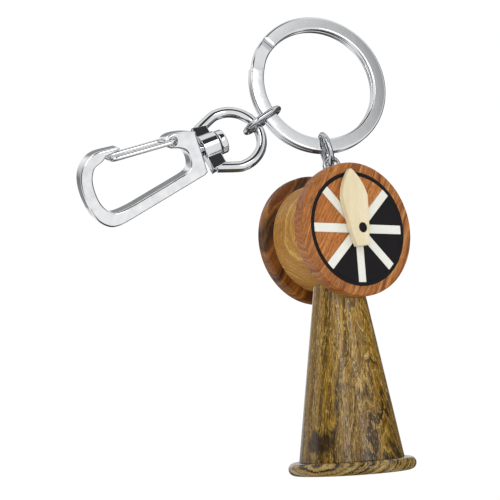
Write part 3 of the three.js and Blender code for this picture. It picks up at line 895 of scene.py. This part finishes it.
def pedestal():
    """Turned cone, its top hollowed to sit against the drum and between the two discs."""
    low, neck, rise = FOOT + FLANGE_T, -DRUM_R, 2.2
    slope = (PEDESTAL_FOOT_R - PEDESTAL_TOP_R) / (neck - low)
    side = [(PEDESTAL_FOOT_R, low), (PEDESTAL_TOP_R - slope * rise, neck + rise)]
    profile = rounded([(0, low), *side, (0, neck + rise)], 0.1)
    cone = build(turned(profile, "Z"), CHARM_AXES)

    def hollow(r, start, end):
        return build(turned(rectangle(0, r, start, end), "Y"), CHARM_AXES)

    around_drum = hollow(DRUM_R + SEAM, -HEAD_HALF, HEAD_HALF)
    around_front = hollow(DISC_R + SEAM, -HEAD_HALF - 1, FRONT_SEAT + SEAM)
    around_back = hollow(DISC_R + SEAM, BACK_SEAT - SEAM, HEAD_HALF + 1)
    combine(cone, "DIFFERENCE", around_drum, around_front, around_back)
    piece(cone, "pedestal", "charm", PEDESTAL_WOOD)


def base_flange():
    bulge = FLANGE_T / 2
    edge = arc(bulge, -90, 90, 16, (FLANGE_R - bulge, FOOT + bulge))
    profile = [(0, FOOT), *edge, (0, FOOT + FLANGE_T)]
    charm_piece(turned(profile, "Z"), "base_flange", "pedestal_wood", FLANGE_WOOD)


split_ring()
oval_link("link_hook", "hook_link", HOOK_LINK_LENGTH, HOOK_LINK_AXES)
oval_link("link_charm", "charm_link", CHARM_LINK_LENGTH, CHARM_LINK_AXES)
hook_body()
gate_wire()
swivel_rivet()
swivel_eye()
drum()
front_disc()
back_disc()
dial()
pointer()
pointer_pin()
screw_eye()
pedestal()
base_flange()

# The dowel is hidden inside the head and keeps its CAD shape.
dowel = frame["nodes"]["head_dowel"]
dowel.data.materials.clear()
dowel.data.materials.append(PALE_WOOD)


# ---------------------------------------------------------------- studio
AMBIENT = 0.6
FLOOR_BELOW = 0.17
BACKDROP_R = 3.0
TENT_R = 2.0
TENT_DARKEST = 0.02

# Dark round cards on the white tent, as (direction of the middle, degrees to the edge, softness, darkness).
TENT_CARDS = [
    ((-0.147, -0.692, 0.707), 24, 6, 0.97),
    ((0.1, 0.74, 0.66), 20, 8, 0.72),
    ((0, 0, -1), 38, 8, 0.97),
    ((0.25, 0.85, -0.45), 29, 8, 0.96),
    ((1, 0.25, 0), 44, 10, 0.94),
    ((-0.62, 0.74, 0.25), 17, 12, 0.5),
    ((-0.29, 0.95, 0.12), 11, 7, 0.75),
    ((-1, -0.2, -0.1), 30, 8, 0.92),
    ((0.465, -0.774, 0.43), 7.5, 7, 0.55),
]

# Upright strip lamps in it, as (degrees to the right of the front, half width, softness, height, strength).
TENT_STRIPS = [(14, 5, 4, 0.5, 4.5), (-29, 5, 4, 0.8, 5.0)]


def soft_box(name, size, place, power):
    """A white panel that lights the object from one side."""
    light = bpy.data.lights.new(name, "AREA")
    light.shape = "RECTANGLE"
    light.size, light.size_y = size
    light.energy = power
    lamp = bpy.data.objects.new(name, light)
    lamp.location = place
    lamp.rotation_euler = (centre - Vector(place)).to_track_quat("-Z", "Y").to_euler()
    lamp.visible_glossy = False
    bpy.context.scene.collection.objects.link(lamp)


def stage_piece(name, shape, place, material, **seen):
    """Part of the studio; seen says which rays meet it."""
    obj = build(shape, Matrix.Translation(place))
    obj.name = name
    obj.data.materials.append(material)
    for ray, visible in seen.items():
        setattr(obj, "visible_" + ray, visible)


def plain_floor():
    recipe = Recipe("pale floor")
    color = recipe.ramp(recipe.noise((40, 40, 40), detail=3), (0.3, srgb("EDEDEC")), (0.7, srgb("F5F5F4")))
    material = recipe.finish(color, recipe.ramp(recipe.noise((9, 9, 9)), (0.3, 0.6), (0.7, 0.75)))
    reach, depth = 1000, 20
    slab = prism(rectangle(-reach, reach, -depth, 0), -reach, reach, 1)
    stage_piece("floor", slab, (0, 0, cad_box[0].z - FLOOR_BELOW), material, glossy=False)


def shell(name, r, material, **seen):
    """A sphere of that radius, in metres, about the middle of the object."""
    stage_piece(name, turned(arc(r / MM, -90, 90, 32), "Z", 64), centre, material, **seen)


def backdrop():
    """White all round behind the object."""
    white = Recipe("white backdrop").glow(1)
    shell("backdrop", BACKDROP_R, white, glossy=False, diffuse=False, shadow=False)


def within(recipe, angle, edge, soft):
    """1 where the angle is below the edge and 0 above it, with a soft step; edge and soft are in degrees."""
    depth = recipe.maths("SUBTRACT", math.radians(edge), angle)
    return recipe.maths("ADD", recipe.maths("DIVIDE", depth, math.radians(soft)), 0.5, clamp=True)


def tent():
    """What the metal mirrors: a white tent with soft-edged dark cards and two bright strips on it."""
    recipe = Recipe("light tent")
    direction = recipe.add("ShaderNodeVectorMath", operation="NORMALIZE")
    recipe.feed(direction.inputs[0], recipe.place)
    x, y, z = (recipe.axis(name, direction.outputs[0]) for name in "XYZ")
    brightness = 1.0
    for axis, edge, soft, darkness in TENT_CARDS:
        dot = recipe.add("ShaderNodeVectorMath", operation="DOT_PRODUCT")
        recipe.feed(dot.inputs[0], direction.outputs[0])
        recipe.feed(dot.inputs[1], Vector(axis).normalized())
        card = within(recipe, recipe.maths("ARCCOSINE", dot.outputs["Value"]), edge, soft)
        left = recipe.maths("SUBTRACT", 1, recipe.times(card, darkness))
        brightness = recipe.times(brightness, left)
    side = recipe.maths("ARCTAN2", x, recipe.times(y, -1))
    for middle, half, soft, top, strength in TENT_STRIPS:
        reach = recipe.ramp(z, (0, 0.0), (0.08, 1.0), (top - 0.05, 1.0), (top, 0.0))
        away = recipe.maths("ABSOLUTE", recipe.maths("SUBTRACT", side, math.radians(middle)))
        strip = recipe.times(within(recipe, away, half, soft), reach)
        brightness = recipe.maths("MAXIMUM", brightness, recipe.times(recipe.times(strip, strip), strength))
    lit = recipe.glow(recipe.maths("MAXIMUM", brightness, TENT_DARKEST))
    shell("light tent", TENT_R, lit, camera=False, diffuse=False, shadow=False, transmission=False)


def world():
    sky = bpy.data.worlds.new("soft daylight")
    sky.use_nodes = True
    background = sky.node_tree.nodes["Background"]
    background.inputs["Color"].default_value = (1, 1, 1, 1)
    background.inputs["Strength"].default_value = AMBIENT
    bpy.context.scene.world = sky


# ---------------------------------------------------------------- camera
CAMERA_AZIMUTH = -16.846
CAMERA_RISE = 7.955
CAMERA_ROLL = -3.85
CAMERA_DISTANCE = 0.2344
CAMERA_LENS = 82.24
CAMERA_TARGET = (-0.01618, 0.0028, -0.04615)


def camera():
    """Looks slightly up at the object from its left."""
    turn, rise, roll = map(math.radians, (CAMERA_AZIMUTH, CAMERA_RISE, CAMERA_ROLL))
    right = Vector((math.cos(turn), math.sin(turn), 0))
    forward = Vector((-math.sin(turn) * math.cos(rise), math.cos(turn) * math.cos(rise), math.sin(rise)))
    up = right.cross(forward)
    rolled_right = right * math.cos(roll) + up * math.sin(roll)
    rolled_up = up * math.cos(roll) - right * math.sin(roll)
    data = bpy.data.cameras.new("camera")
    data.lens = CAMERA_LENS
    data.sensor_width = 36
    data.clip_start, data.clip_end = 0.01, 20
    eye = bpy.data.objects.new("camera", data)
    matrix = Matrix((rolled_right, rolled_up, -forward)).transposed().to_4x4()
    matrix.translation = Vector(CAMERA_TARGET) - forward * CAMERA_DISTANCE
    eye.matrix_world = matrix
    bpy.context.scene.collection.objects.link(eye)
    bpy.context.scene.camera = eye


centre = (cad_box[0] + cad_box[1]) / 2
world()
plain_floor()
backdrop()
tent()
soft_box("key", size=(0.5, 0.5), place=(-0.5, -0.7, 0.45), power=2.5)
soft_box("fill", size=(0.3, 0.7), place=(0.8, -0.4, 0.1), power=1.5)
camera()
bpy.context.scene.view_settings.view_transform = "Standard"
